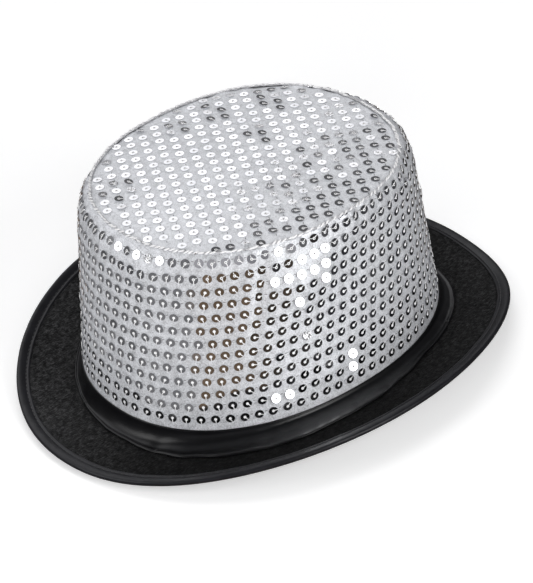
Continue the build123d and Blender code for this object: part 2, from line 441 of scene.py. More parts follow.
def ribbonMaterial():
    material, shader, place = newMaterial("ribbedRibbon", Roughness=0.6, Sheen_Weight=0.2)
    ribs = addNode(shader, "ShaderNodeTexWave", Scale=330.0, bands_direction="Z")
    join(place, ribs.inputs["Vector"])
    stops = [(0.0, (0.012, 0.012, 0.013)), (1.0, (0.04, 0.04, 0.043))]
    tint(shader, ribs.outputs["Fac"], stops)
    addBump(shader, ribs.outputs["Fac"], 0.5, 0.3 * mm)
    return material


silverCloth = silverClothMaterial("silverCloth", 0.5, (0.52, 0.74, 0.92))
# the tip's copy of the wall cloth is less metallic and has lighter tones; the lighter tones are painted
# light that makes the top brighter
silverTipClothPaintedLighter = silverClothMaterial("silverTipClothPaintedLighter", 0.24, (0.62, 0.80, 0.93))
mirrorSequin = sequinMaterial()
whiteThread = threadMaterial("whiteThread", (0.62, 0.62, 0.63), greyTone(0.9), 0.6)
# this dark grey thread paints shade: the dots over the sequins' holes and the small stitches between
# the sequins are drawn in it
paintedShadeThread = threadMaterial("paintedShadeThread", (0.07, 0.07, 0.075), (0.26, 0.26, 0.27), 0.7)
# the mid grey of the tip seam's ridge is partly painted shade in the gaps between the white stitches,
# and partly the dark sequin bits folded into the seam
seamShadeAndScrapGrey = threadMaterial("seamShadeAndScrapGrey", (0.24, 0.24, 0.25), (0.6, 0.6, 0.62), 0.7)
blackThread = threadMaterial("blackThread", (0.008, 0.008, 0.009), (0.03, 0.03, 0.032), 0.55)
# brushed felt with random fibres, and painted shade across the brim
brushedFeltWithPaintedShade = feltMaterial()
bindingSatin = satinMaterial("bindingSatin", (0.006, 0.006, 0.0075), 0.38, 0.34)
bandSatin = satinMaterial("bandSatin", (0.0025, 0.0025, 0.003), 0.29, 0.34)
ribbedRibbon = ribbonMaterial()
buckram = plainWeaveMaterial("buckram", (0.45, 0.43, 0.38), (0.66, 0.64, 0.58))
reedPlastic = plainWeaveMaterial("reedPlastic", (0.68, 0.68, 0.65), (0.78, 0.78, 0.75))
print("materials made")


wallCloth = {
    "around": 512,
    "up": 104,
    "swell": 0.45 * mm,  # slow waves in the cloth
    "pucker": 1.3 * mm,  # gathers under the seam
    "puckerDepth": 11 * mm,
    "sunk": 0.45 * mm,  # how far it can press in before it meets the felt
    "crease": {
        "bearing": -33.0,
        "lean": 0.11,  # degrees for each millimetre down
        "depth": 0.9 * mm,
        "ridge": 1.3 * mm,
        "width": 2.2 * mm,
        "length": 52 * mm,
    },
    # as (bearing, height, reach, how far out)
    "bulges": [
        (-17.5, 93 * mm, 14 * mm, 3.6 * mm),
        (-74.0, 106 * mm, 9 * mm, 1.3 * mm),
        (-9.0, 33 * mm, 6 * mm, 0.9 * mm),
    ],
    "backSeam": 0.7 * mm,
    "backSeamWidth": 1.3 * mm,
}


def turnBetween(first, second):
    return (first - second + math.pi) % fullTurn - math.pi


def clothOut(angle, height):
    point = crownPoint(angle, height)
    slow = noise.noise(point * 38)
    middle = noise.noise(point * 110 + Vector((5, 5, 5)))
    out = wallCloth["swell"] * (0.8 * slow + 0.35 * middle)
    below = crown["seam"] - height
    fade = math.exp(-below / wallCloth["puckerDepth"])
    gather = noise.noise(Vector((point.x * 135, point.y * 135, point.z * 22)))
    finer = noise.noise(Vector((point.x * 300, point.y * 300, point.z * 60)))
    out += wallCloth["pucker"] * fade * (gather + 0.4 * finer)
    crease = wallCloth["crease"]
    line = ovalAngle(crease["bearing"] - crease["lean"] * below / mm)
    apart = turnBetween(angle, line) * crown["meanRadius"]
    if abs(apart) < 20 * mm and below < crease["length"] * 1.6:
        run = math.exp(-((below / crease["length"]) ** 2))
        apart /= crease["width"]
        out -= crease["depth"] * run * math.exp(-(apart**2))
        for side in (-2.2, 2.4):
            out += crease["ridge"] * run * math.exp(-(((apart - side) / 1.8) ** 2)) / 2
    for bearing, level, reach, bulge in wallCloth["bulges"]:
        around = turnBetween(angle, ovalAngle(bearing)) * crown["meanRadius"]
        out += bulge * math.exp(-(around**2 + (height - level) ** 2) / reach**2)
    backSeam = point.x / wallCloth["backSeamWidth"]
    if point.y > 0 and abs(backSeam) < 4:
        out -= wallCloth["backSeam"] * math.exp(-backSeam * backSeam)
    return max(out, -wallCloth["sunk"])


def clothPoint(angle, height):
    return crownPoint(angle, height, clothOut(angle, height))


def makeWallCloth():
    def lay(angle, share):
        return clothPoint(angle, wallHeight(0.03 + 0.97 * share))

    cloth = wrapGrid("sideSequinCloth", wallCloth["around"], wallCloth["up"], lay)
    finishPiece(cloth, 60, "silver_cloth", silverCloth, ["side_sequin_cloth"])


makeWallCloth()
print("wall cloth made")


tipCloth = {
    "around": 384,
    "up": 72,
    "swell": 0.14 * mm,
    "pucker": 0.9 * mm,
    "puckerDepth": 5 * mm,
    "edgeDip": 0.5 * mm,
}


# 0 in the middle of the tip, 1 on its outline, which can be drawn in by an inset
def tipReach(x, y, inset=0.0):
    across = abs(x) / (crown["tipHalfWidth"] - inset)
    along = abs(y) / (crown["tipHalfLength"] - inset)
    return across ** crown["squareness"] + along ** crown["squareness"]


def tipHeight(x, y):
    share = min(1.0, tipReach(x, y)) ** (1 / crown["squareness"])
    point = Vector((x, y, 0))
    rise = crown["tipRise"] * (1 - share * share)
    rise += tipCloth["swell"] * (0.8 * noise.noise(point * 42) + 0.4 * noise.noise(point * 130))
    fromEdge = (1 - share) * crown["tipHalfWidth"]
    fade = math.exp(-fromEdge / tipCloth["puckerDepth"])
    turn = math.atan2(y, x)
    gather = noise.noise(Vector((math.cos(turn) * 11, math.sin(turn) * 11, fromEdge * 40)))
    return crown["seam"] + rise + fade * (tipCloth["pucker"] * gather - tipCloth["edgeDip"])


def makeTipCloth():
    def lay(angle, share):
        inward = 1 - share
        halfLength, halfWidth = crown["tipHalfLength"] * inward, crown["tipHalfWidth"] * inward
        x, y = ovalPoint(halfLength, halfWidth, angle, crown["squareness"])
        return Vector((x, y, tipHeight(x, y)))

    cloth = wrapGrid("tipSequinCloth", tipCloth["around"], tipCloth["up"], lay)
    finishPiece(cloth, 60, "silver_cloth", silverTipClothPaintedLighter, ["tip_sequin_cloth"])


makeTipCloth()
print("tip cloth made")


sequin = {
    "outer": 2.5 * mm,
    "inner": 0.85 * mm,
    "thickness": 0.14 * mm,
    "sides": 14,
    "perRow": 77,
    "rowPitch": 7.76 * mm,
    "rowLean": 1.45 * mm,
    "firstRow": 6.3 * mm,
    "tipPitch": 7.83 * mm,
    "tipTurn": -26.5,
    "tilt": 0.9,  # degrees, how much most sit askew
    "oddTilt": 5.0,
    "oddOnes": 0.07,
    "stray": 0.3 * mm,
    # those that catch the side light, as (bearing, millimetres up)
    "glints": [
        (-20, 107), (-15.5, 107), (-10, 107),
        (-28, 99.4), (-23.5, 99.4), (-18.5, 99.4), (-13.5, 99.4), (-8.5, 99.4),
        (-10, 91.6), (-23, 83.9), (-2, 37.3), (-3, 29.6), (-33.5, 29.6), (-29, 29.6),
    ],
    # dents in the tip whose sequins mirror the dark side of the room, as (x, y, reach) in millimetres
    "dents": [(-30, -63, 10), (-57, -3, 9), (-51, 22, 8), (-9, 22, 7), (-40, 50, 6)],
    "stand": 0.22 * mm,
}
# the knot fills the sequin's hole, and one strand runs from it over the rim and bends down
stitch = {
    "knot": 0.24 * mm,
    "knotLift": 0.16 * mm,
    "strand": (2.3 * mm, 0.42 * mm, 0.3 * mm),
    "strandPlace": (1.75 * mm, 0, 0.19 * mm),
    "reach": 2.9 * mm,
    "bend": 0.22 * mm,
    # how high the dark dot over a sequin's hole sits; the dot paints the shade in the hole
    "holeShadeLift": 0.36 * mm,
    # the small stitches between two sequins are drawn dark grey, which paints their shade
    "rowLift": 0.9 * mm,  # of the small stitches between two sequins
}


def modelSequin():
    clearSelection()
    outer = sequin["outer"]
    bpy.ops.mesh.primitive_circle_add(vertices=sequin["sides"], radius=outer, fill_type="NGON")
    disc = bpy.context.object
    bpy.ops.object.mode_set(mode="EDIT")
    bpy.ops.mesh.select_all(action="SELECT")
    bpy.ops.mesh.inset(thickness=outer - sequin["inner"], depth=0)
    bpy.ops.mesh.delete(type="FACE")
    bpy.ops.object.mode_set(mode="OBJECT")
    applyModifier(disc, "SOLIDIFY", thickness=sequin["thickness"], offset=1)
    return disc


def modelStitch():
    clearSelection()
    bpy.ops.mesh.primitive_cylinder_add(
        vertices=8,
        radius=sequin["inner"] * 0.95,
        depth=stitch["knot"],
        location=(0, 0, stitch["knotLift"]),
    )
    knot = bpy.context.object
    bpy.ops.object.transform_apply(location=True, rotation=True, scale=True)
    bpy.ops.object.mode_set(mode="EDIT")
    bpy.ops.mesh.select_all(action="DESELECT")
    bpy.ops.object.mode_set(mode="OBJECT")
    for face in knot.data.polygons:
        face.select = face.normal.z > 0.9
    bpy.ops.object.mode_set(mode="EDIT")
    bpy.ops.mesh.inset(thickness=0.38 * mm, depth=0.06 * mm)
    bpy.ops.mesh.inset(thickness=0.28 * mm, depth=-0.14 * mm)
    bpy.ops.object.mode_set(mode="OBJECT")
    bpy.ops.mesh.primitive_cube_add(size=1, location=stitch["strandPlace"])
    strand = bpy.context.object
    strand.scale = stitch["strand"]
    makeActive(strand)
    bpy.ops.object.transform_apply(location=True, rotation=True, scale=True)
    bpy.ops.object.mode_set(mode="EDIT")
    bpy.ops.mesh.select_all(action="SELECT")
    bpy.ops.mesh.bevel(offset=0.08 * mm, segments=1)
    bpy.ops.object.mode_set(mode="OBJECT")
    for vertex in strand.data.vertices:
        vertex.co.z -= stitch["bend"] * max(0.0, vertex.co.x / stitch["reach"]) ** 3
    knot.select_set(True)
    bpy.context.view_layer.objects.active = knot
    bpy.ops.object.join()
    return knot


def modelDash(length, radius):
    clearSelection()
    bpy.ops.mesh.primitive_uv_sphere_add(
        segments=6, ring_count=4, radius=radius, rotation=(0, math.pi / 2, 0)
    )
    dash = bpy.context.object
    bpy.ops.object.transform_apply(location=True, rotation=True, scale=True)
    for vertex in dash.data.vertices:
        vertex.co.x *= length / 2 / radius
    return dash


# Many copies of a small shape, joined as one piece; each place is (point, facing, along)
def scatter(name, shape, places, slot, material, nodes=(), tones=None):
    points = [vertex.co.copy() for vertex in shape.data.vertices]
    faces = [tuple(polygon.vertices) for polygon in shape.data.polygons]
    allPoints, allFaces = [], []
    for point, facing, along in places:
        side = facing.cross(along).normalized()
        ahead = side.cross(facing)
        start = len(allPoints)
        allPoints.extend(point + ahead * p.x + side * p.y + facing * p.z for p in points)
        allFaces.extend(tuple(start + index for index in face) for face in faces)
    mesh = bpy.data.meshes.new(name)
    mesh.from_pydata(allPoints, [], allFaces)
    piece = bpy.data.objects.new(name, mesh)
    bpy.context.scene.collection.objects.link(piece)
    if tones:
        tone = mesh.attributes.new("tone", "FLOAT", "POINT")
        tone.data.foreach_set("value", [value for value in tones for _ in points])
    finishPiece(piece, 35, slot, material, nodes)


white = ("white_thread", whiteThread)
# the dark grey thread, for painted shade
paintedShadeGrey = ("white_thread", paintedShadeThread)
black = ("black_thread", blackThread)


# Stitches that all have one length and radius
def sew(name, length, radius, places, thread, nodes=()):
    dash = modelDash(length, radius)
    scatter(name, dash, places, *thread, nodes)
    bpy.data.objects.remove(dash)


def wallFacing(angle, height):
    step = 0.8 * mm
    turn = step / crown["meanRadius"]
    across = clothPoint(angle + turn, height) - clothPoint(angle - turn, height)
    rising = clothPoint(angle, min(crown["seam"], height + step)) - clothPoint(angle, height - step)
    return across.cross(rising).normalized(), across.normalized()


# Angles at equal steps along the oval at this height
def evenAngles(height, count, shift):
    halfLength, halfWidth = crownSize(height)
    steps = 1440
    run = [0.0]
    last = ovalPoint(halfLength, halfWidth, math.pi / 2, crown["squareness"])
    for step in range(1, steps + 1):
        angle = math.pi / 2 + fullTurn * step / steps
        here = ovalPoint(halfLength, halfWidth, angle, crown["squareness"])
        run.append(run[-1] + math.hypot(here[0] - last[0], here[1] - last[1]))
        last = here
    angles = []
    step = 0
    for number in sorted((run[-1] * number / count + shift) % run[-1] for number in range(count)):
        while run[step + 1] < number:
            step += 1
        part = (number - run[step]) / (run[step + 1] - run[step])
        angles.append(math.pi / 2 + fullTurn * (step + part) / steps)
    return angles


def askew(facing, along):
    lean = math.radians(sequin["oddTilt"] if random.random() < sequin["oddOnes"] else sequin["tilt"])
    side = facing.cross(along)
    turned = facing + along * random.gauss(0, lean) + side * random.gauss(0, lean)
    return turned.normalized()


# A sequin that faces the way of the glint mirrors the side light into the camera
sideLight = (99, 20)
glint = (wayTo(camera["azimuth"], camera["elevation"]) + wayTo(*sideLight)).normalized()


def catchesLight(turn, level):
    for bearing, tall in sequin["glints"]:
        away = math.degrees(turnBetween(turn, ovalAngle(bearing)))
        if abs(away) < 2.35 and abs(level - tall * mm) < 2.5 * mm:
            return True
    return False


# Where a sequin's middle comes to lie, so that its low edge stays clear of the cloth
def seatOn(point, facing, tilted):
    return point + facing * (sequin["stand"] + sequin["outer"] * math.sin(tilted.angle(facing)))


def wallPlaces():
    places, stitches, strands, dashes, holeShades, tones = [], [], [], [], [], []
    height = bandHigh[2] + sequin["firstRow"]
    row = 0
    while height < crown["seam"] - 2.2 * mm:
        shift = row * sequin["rowLean"] + random.uniform(-0.4, 0.4) * mm
        for angle in evenAngles(height, sequin["perRow"], shift):
            level = height + random.gauss(0, 0.5) * sequin["stray"]
            turn = angle + random.gauss(0, 0.5) * sequin["stray"] / crown["meanRadius"]
            point = clothPoint(turn, level)
            if point.y > 0 and abs(point.x) < 3 * mm:
                continue
            facing, along = wallFacing(turn, level)
            tilted = askew(facing, along)
            up = facing.cross(along)
            glinting = catchesLight(turn, level)
            if glinting:
                tilted = glint
            seat = seatOn(point, facing, tilted)
            places.append((seat, tilted, along))
            # the strands run one way on the left and turn round towards the right
            right = 0.5 + 0.5 * math.tanh(math.degrees(turnBetween(turn, ovalAngle(-42))) / 9)
            thread = math.radians(random.gauss(-95 + 135 * right, 14))
            stitches.append((seat, tilted, along * math.cos(thread) + up * math.sin(thread)))
            # a dark dot over the hole paints the shade in it
            if glinting or level > crown["seam"] - 12 * mm:
                holeShades.append((seat + tilted * stitch["holeShadeLift"], tilted, along))
            if level > crown["seam"] - 15 * mm and not glinting:
                thread += math.radians(random.gauss(130, 18))
                way = along * math.cos(thread) + up * math.sin(thread)
                strands.append((seat + way * 1.6 * mm + tilted * 0.16 * mm, tilted, way))
            tones.append(random.random())
            # the small stitch to the next sequin, drawn dark grey as painted shade
            halfway = turn + 0.5 * fullTurn / sequin["perRow"]
            above = level + stitch["rowLift"]
            way = along + up * random.gauss(0.1, 0.15)
            dashes.append((clothPoint(halfway, above), wallFacing(halfway, above)[0], way))
        height += sequin["rowPitch"]
        row += 1
    return places, stitches, strands, dashes, holeShades, tones


def tipFacing(x, y):
    step = 1.2 * mm
    riseX = tipHeight(x + step, y) - tipHeight(x - step, y)
    riseY = tipHeight(x, y + step) - tipHeight(x, y - step)
    return Vector((-riseX, -riseY, 2 * step)).normalized()


def tipPlaces():
    places, stitches, dashes, holeShades, tones = [], [], [], [], []
    turn = math.radians(sequin["tipTurn"])
    rowWay = Vector((math.cos(turn), math.sin(turn), 0))
    nextWay = Vector((-math.sin(turn), math.cos(turn), 0))
    shadeWay = wayTo(90 + camera["azimuth"], 0)
    pitch = sequin["tipPitch"]
    shift = 0.0
    for row in range(-12, 13):
        shift += random.choice((0.0, 0.0, 0.28)) * pitch
        for number in range(-14, 15):
            spot = rowWay * (number * pitch + shift % pitch) + nextWay * (row * pitch)
            spot += Vector((random.gauss(0, 0.4), random.gauss(0, 0.4), 0)) * sequin["stray"]
            if tipReach(spot.x, spot.y, 2.4 * mm) > 1:
                continue
            spot.z = tipHeight(spot.x, spot.y)
            facing = tipFacing(spot.x, spot.y)
            tilted = askew(facing, rowWay)
            for x, y, reach in sequin["dents"]:
                if math.hypot(spot.x - x * mm, spot.y - y * mm) < reach * mm:
                    tilted = (tilted + shadeWay * 0.2).normalized()
            seat = seatOn(spot, facing, tilted)
            places.append((seat, tilted, rowWay))
            thread = turn + math.radians(random.gauss(60, 16))
            stitches.append((seat, tilted, Vector((math.cos(thread), math.sin(thread), 0))))
            # a dark dot over the hole paints the shade in it
            holeShades.append((seat + tilted * stitch["holeShadeLift"], tilted, rowWay))
            tones.append(random.random())
            dashes.append((spot + rowWay * pitch / 2 + nextWay * stitch["rowLift"], facing, rowWay))
    return places, stitches, dashes, holeShades, tones


sequinShape = modelSequin()
stitchShape = modelStitch()
wallSpots, wallStitches, wallStrands, wallDashes, wallHoleShades, wallTones = wallPlaces()
tipSpots, tipStitches, tipDashes, tipHoleShades, tipTones = tipPlaces()
scatter("sideSequins", sequinShape, wallSpots, "sequin", mirrorSequin, ["side_sequins"], wallTones)
scatter("tipSequins", sequinShape, tipSpots, "sequin", mirrorSequin, ["tip_sequins"], tipTones)
scatter("sideSequinStitches", stitchShape, wallStitches, *white)
scatter("tipSequinStitches", stitchShape, tipStitches, *white)
# dark dots over the sequins' holes: painted shade
sew("sequinHoleShadeDots", 0.64 * mm, 0.32 * mm, wallHoleShades + tipHoleShades, paintedShadeGrey)
sew("sideSequinStrands", 1.7 * mm, 0.2 * mm, wallStrands, white)
# stitches between the sequins, drawn dark grey as painted shade
sew("sideRowStitchesPaintedShade", 1.7 * mm, 0.2 * mm, wallDashes, paintedShadeGrey)
sew("tipRowStitchesPaintedShade", 1.7 * mm, 0.2 * mm, tipDashes, paintedShadeGrey)
print("sequins sewn on", len(wallSpots), len(tipSpots))


# The gathered seam round the tip, with a few cut scraps of sequins caught in it
tipSeam = {
    "around": 720,
    "radius": 0.5 * mm,
    "wander": 0.5 * mm,
    "lift": 0.25 * mm,
    "lump": 0.4 * mm,
    "stitches": 168,
    "scraps": 60,
}


def seamPoint(angle):
    point = crownPoint(angle, crown["seam"])
    wander = noise.noise(point * 170)
    lift = noise.noise(point * 230 + Vector((9, 0, 0)))
    point += outwardFrom(point) * wander * tipSeam["wander"]
    return point + upward * (tipSeam["lift"] + lift * tipSeam["lump"])


def makeTipSeam():
    section = [(math.cos(fullTurn * k / 8), math.sin(fullTurn * k / 8)) for k in range(8)]

    def lay(angle, out, up):
        centre = seamPoint(angle)
        size = tipSeam["radius"] * (1 + 0.6 * noise.noise(centre * 420))
        return centre + outwardFrom(centre) * out * size * 1.3 + upward * up * size

    ridge = ringSolid("tipSeamRidge", tipSeam["around"], section, lay)
    # the ridge is drawn mid grey: painted shade between the stitches, together with the dark sequin
    # bits in the seam
    finishPiece(ridge, 80, "white_thread", seamShadeAndScrapGrey, ["tip_seam_thread"])
    places = []
    for number in range(tipSeam["stitches"]):
        angle = fullTurn * (number + random.uniform(-0.3, 0.3)) / tipSeam["stitches"]
        centre = seamPoint(angle)
        outward = outwardFrom(centre)
        around = Vector((-outward.y, outward.x, 0))
        way = around + outward * random.gauss(-0.55, 0.25) + upward * random.gauss(0, 0.15)
        if random.random() < 0.95:
            seat = centre + upward * 0.35 * mm + outward * random.gauss(0.3, 0.15) * mm
            places.append((seat, upward + outward * 0.8, way))
    sew("tipSeamStitches", 3.0 * mm, 0.55 * mm, places, white)
    scraps, tones = [], []
    for _ in range(tipSeam["scraps"]):
        angle = random.uniform(0, fullTurn)
        centre = seamPoint(angle)
        outward = outwardFrom(centre)
        facing = Vector((random.gauss(0, 1), random.gauss(0, 1), random.gauss(0.3, 0.7)))
        facing = (facing.normalized() * 0.6 + outward).normalized()
        seat = centre + outward * random.gauss(0.4, 0.3) * mm - upward * 0.9 * mm
        scraps.append((seat, facing, Vector((-outward.y, outward.x, 0.2))))
        tones.append(random.random())
    # one scrap hangs loose below the seam
    loose = crownPoint(ovalAngle(42.3), crown["seam"] - 7 * mm, 2.2 * mm)
    scraps.append((loose, Vector((0.5, -0.75, 0.3)).normalized(), Vector((0.2, 0.2, 1))))
    tones.append(0.5)
    scatter("tipSeamScraps", scrapShape, scraps, "sequin", mirrorSequin, (), tones)


def modelScrap():
    scrap = modelSequin()
    for vertex in scrap.data.vertices:
        vertex.co.x *= 0.4
        vertex.co.y *= 0.6
        vertex.co.z += 0.25 * mm * (vertex.co.y / sequin["outer"]) ** 2
    return scrap


scrapShape = modelScrap()
makeTipSeam()
print("tip seam made")

for shape in (sequinShape, stitchShape, scrapShape):
    bpy.data.objects.remove(shape)


hatBand = {
    "around": 480,
    "tacks": 10,
    "tackStart": 4.6,
    "tackRadius": 92 * mm,
    "dimple": 0.35 * mm,
    "dimpleWidth": 3.6 * mm,
    "height": 12.8 * mm,  # as drawn in the section
    "lip": 2.0 * mm,  # the part of it that keeps its height
    "foot": 8.4,
    # how far the foot spreads on the brim, as (bearing, millimetres)
    "spread": [
        (-180, 8.4), (-135, 5), (-103, 5), (-82, 7.7), (-69, 10.3),
        (-60, 13.4), (-50, 15.8), (-38, 18), (-28, 18.5), (-14, 16.5),
        (0, 15.5), (15, 12), (30, 8), (60, 8), (180, 8.4),
    ],
    # the outer face from the lip up to the top edge, then the inner face back down
    "outer": [
        (7.9, 0.35), (8.35, 0.7), (8.4, 1.3), (8.1, 1.85), (7.5, 2.05), (6.8, 1.9),
        (6.0, 1.8), (5.1, 2.1), (4.3, 2.7), (3.5, 3.5), (2.8, 4.5), (2.1, 5.9),
        (1.55, 7.5), (1.2, 9.2), (1.0, 10.8), (0.95, 12.2), (0.7, 12.75),
    ],
    "inner": [
        (0.3, 12.7), (0.15, 12.2), (0.2, 9.2), (0.5, 7.0), (1.1, 5.2),
        (2.0, 3.6), (3.2, 2.2), (4.6, 1.3), (6.0, 0.9), (7.2, 0.5),
    ],
    # the lap's outer face, one for each row of its grid
    "lap": [
        (8.3, 1.3), (8.0, 1.9), (7.4, 2.1), (6.4, 1.95), (5.2, 2.15),
        (4.2, 2.85), (3.2, 4.1), (2.4, 5.6), (1.8, 7.4), (1.4, 9.2),
        (1.3, 10.8), (1.3, 11.8), (1.2, 12.4), (1.0, 12.7), (0.9, 12.75),
    ],
}


def inMillimetres(curve):
    return [(out * mm, up * mm) for out, up in curve]


def footSpread(bearing):
    for (low, first), (high, second) in zip(hatBand["spread"], hatBand["spread"][1:]):
        if low <= bearing <= high:
            share = (bearing - low) / (high - low)
            share = share * share * (3 - 2 * share)
            return first + (second - first) * share


def bandPoint(angle, out, up):
    base = crownPoint(angle, brim["top"] + 6 * mm)
    height = bandHigh[2] - brim["top"] - brimLift(base.x, base.y)
    lip = hatBand["lip"]
    if up > lip:
        up = lip + (up - lip) * (height - lip) / (hatBand["height"] - lip)
    along = math.degrees(angle) % 360
    pitch = 360 / hatBand["tacks"]
    apart = math.radians(((along - hatBand["tackStart"]) % pitch + pitch / 2) % pitch - pitch / 2)
    dent = math.exp(-((apart * hatBand["tackRadius"] / hatBand["dimpleWidth"]) ** 2))
    foot = min(1.0, out / (6 * mm))
    spread = footSpread(math.degrees(math.atan2(base.y, base.x))) / hatBand["foot"]
    out *= 1 + (spread - 1) * foot
    out -= hatBand["dimple"] * dent * foot
    if up > 1 * mm:
        up -= 0.5 * mm * dent * foot
    wave = noise.noise(base * 55 + Vector((3, 3, 3)))
    ripple = noise.noise(base * 120)
    out += foot * mm * (0.7 * wave + 0.25 * ripple)
    up += foot * 0.25 * mm * abs(ripple) + 0.12 * mm * wave
    # the foot follows the brim, the top edge stays level
    point = crownPoint(angle, brim["top"] + brimLift(base.x, base.y) + up, max(out, 0.05 * mm))
    point.z += foot * (brimLift(point.x, point.y) - brimLift(base.x, base.y))
    return point


def makeHatBand():
    section = inMillimetres(hatBand["outer"] + hatBand["inner"])
    band = ringSolid("hatBand", hatBand["around"], section, bandPoint)
    applyModifier(band, "SUBSURF", levels=1, render_levels=1)
    finishPiece(band, 80, "black_ribbon", bandSatin, ["hat_band"])
    places = []
    for number in range(hatBand["tacks"]):
        angle = math.radians(hatBand["tackStart"] + 36 * number)
        seat = bandPoint(angle, 7.4 * mm, 2.0 * mm) + upward * 0.1 * mm
        outward = outwardFrom(seat)
        around = Vector((-outward.y, outward.x, 0))
        for turn in (-0.5, 0.5):
            places.append((seat, upward, outward + around * turn))
    sew("hatBandTacks", 2.2 * mm, 0.2 * mm, places, black, ["hat_band_tacks"])


makeHatBand()


def makeBandLap():
    middle = math.radians(170.6)
    halfWidth = 7 * mm / crown["meanRadius"]
    rows = len(hatBand["lap"]) - 1
    clearSelection()
    bpy.ops.mesh.primitive_grid_add(x_subdivisions=24, y_subdivisions=rows, size=2)
    lap = bpy.context.object
    lap.name = "hatBandLap"
    for vertex in lap.data.vertices:
        across = vertex.co.x
        out, up = hatBand["lap"][round((vertex.co.y + 1) / 2 * rows)]
        vertex.co = bandPoint(middle + across * halfWidth, (out + 0.25) * mm, (up + 0.1) * mm)
    applyModifier(lap, "SOLIDIFY", thickness=0.35 * mm, offset=0)
    finishPiece(lap, 50, "black_ribbon", bandSatin, ["hat_band_lap"])


makeBandLap()
print("hat band made")


brimEdge = {
    "around": 480,
    "rows": 26,
    "plyInset": 1.0 * mm,
    "fuzz": 0.14 * mm,
    "stiffenerInset": 5.6 * mm,
    "stitches": 250,
    "stitchInset": 5.5 * mm,
    "stitchTop": 3.2 * mm,
    "stitchBottom": 0.25 * mm,
    # the binding's section from its lower outer edge over the top, back inside, and underneath
    "outer": [
        (1.3, 0.05), (0.5, 0.35), (0.1, 0.95), (0.0, 1.7), (0.1, 2.45),
        (0.6, 3.1), (1.4, 3.5), (2.6, 3.65), (3.8, 3.55), (4.8, 3.3),
        (5.4, 3.05), (6.0, 3.15), (6.6, 3.5), (7.2, 3.5), (7.6, 3.15),
    ],
    "inner": [
        (7.55, 2.8), (6.0, 2.78), (3.0, 2.78), (1.0, 2.7), (0.8, 1.7),
        (1.0, 0.7), (3.0, 0.58), (6.0, 0.58), (7.5, 0.56),
    ],
    "under": [(7.6, 0.25), (7.1, 0.02), (6.1, 0.05), (5.5, 0.2), (4.8, 0.05), (3.0, 0.0)],
}


def brimPoint(angle, inset, up, wander=0.0):
    x, y = brimOutline(angle, inset)
    return Vector((x, y, brimLift(x, y) + up + wander))


def makePly(name, bottom, top, edge, nodes, fuzz, slot, material):
    rows = brimEdge["rows"]
    section = [(1.0, bottom + 0.15 * mm), (1.0, top - 0.15 * mm)]
    section += [(1 - share / rows, top) for share in range(rows + 1)]
    section += [(0.0, bottom + 0.1 * mm)]
    section += [(share / rows, bottom) for share in range(0, rows + 1, 2)]

    def lay(angle, out, up):
        outerX, outerY = brimOutline(angle, edge)
        inner = crownPoint(angle, brim["top"], -2.3 * mm)
        x, y = inner.x + (outerX - inner.x) * out, inner.y + (outerY - inner.y) * out
        point = Vector((x, y, 0))
        rough = fuzz * (noise.noise(point * 140) + 0.6 * noise.noise(point * 420))
        point.z = brimLift(point.x, point.y) + up + (rough if up > (bottom + top) / 2 else 0)
        return point

    ply = ringSolid(name, brimEdge["around"], section, lay)
    finishPiece(ply, 50, slot, material, nodes)
    return ply


under = (brim["tape"], brim["tape"] + brim["felt"])
upper = (brim["top"] - brim["felt"], brim["top"])
core = (under[1] + 0.02 * mm, upper[0] - 0.02 * mm)  # the stiffener and the reed lie in it
felt = ("felt", brushedFeltWithPaintedShade)
makePly("brimUpperFelt", *upper, brimEdge["plyInset"], ["brim_upper_felt"], brimEdge["fuzz"], *felt)
makePly("brimUnderFelt", *under, brimEdge["plyInset"], ["brim_under_felt"], 0.0, *felt)
board = ("buckram", buckram)
makePly("brimStiffener", *core, brimEdge["stiffenerInset"], ["brim_stiffener"], 0.0, *board)


def makeReed():
    low, high = core
    section = [(2.2, low), (2.2, high), (3.7, high), (5.2, high), (5.2, low), (3.7, low)]

    def lay(angle, inset, up):
        return brimPoint(angle, inset * mm, up)

    reed = ringSolid("brimEdgeReed", 240, section, lay)
    finishPiece(reed, 40, "reed", reedPlastic, ["brim_edge_reed"])


makeReed()
print("brim plies and reed made")


def makeBinding():
    section = inMillimetres(brimEdge["outer"] + brimEdge["inner"] + brimEdge["under"])

    def lay(angle, inset, up):
        x, y = ovalPoint(brim["halfLength"], brim["halfWidth"], angle)
        place = Vector((x, y, 0))
        ripple = noise.noise(place * 210) * 0.14 * mm + noise.noise(place * 60) * 0.18 * mm
        if up < 1 * mm:
            ripple = max(0.0, ripple) * 0.3
        if inset > 5.8 * mm:
            inset += noise.noise(place * 95 + Vector((0, 0, 4))) * 0.25 * mm
        return brimPoint(angle, inset, up, ripple)

    binding = ringSolid("brimBinding", brimEdge["around"], section, lay)
    applyModifier(binding, "SUBSURF", levels=1, render_levels=1)
    finishPiece(binding, 80, "black_satin", bindingSatin, ["brim_binding"])
    places = []
    inset, top, bottom = brimEdge["stitchInset"], brimEdge["stitchTop"], brimEdge["stitchBottom"]
    for number in range(brimEdge["stitches"]):
        angle = fullTurn * number / brimEdge["stitches"]
        along = (brimPoint(angle + 0.01, inset, top) - brimPoint(angle - 0.01, inset, top)).normalized()
        places.append((brimPoint(angle, inset, top), upward, along))
        places.append((brimPoint(angle, inset, bottom), -upward, along))
    sew("brimBindingThread", 2.7 * mm, 0.18 * mm, places, black, ["brim_binding_thread"])


makeBinding()
print("binding made")


inside = {
    "around": 256,
    "felt": 2.0 * mm,
    "tipFelt": 1.5 * mm,
    "lining": 0.8 * mm,
    "stitches": 150,
    "stitchUp": 5.2 * mm,
}


# The section of an upright layer, as (out, share of its height), up one face and down the other
def twoFaces(outer, inner, steps):
    levels = [share / steps for share in range(steps + 1)]
    return [(outer, level) for level in levels] + [(inner, level) for level in reversed(levels)]


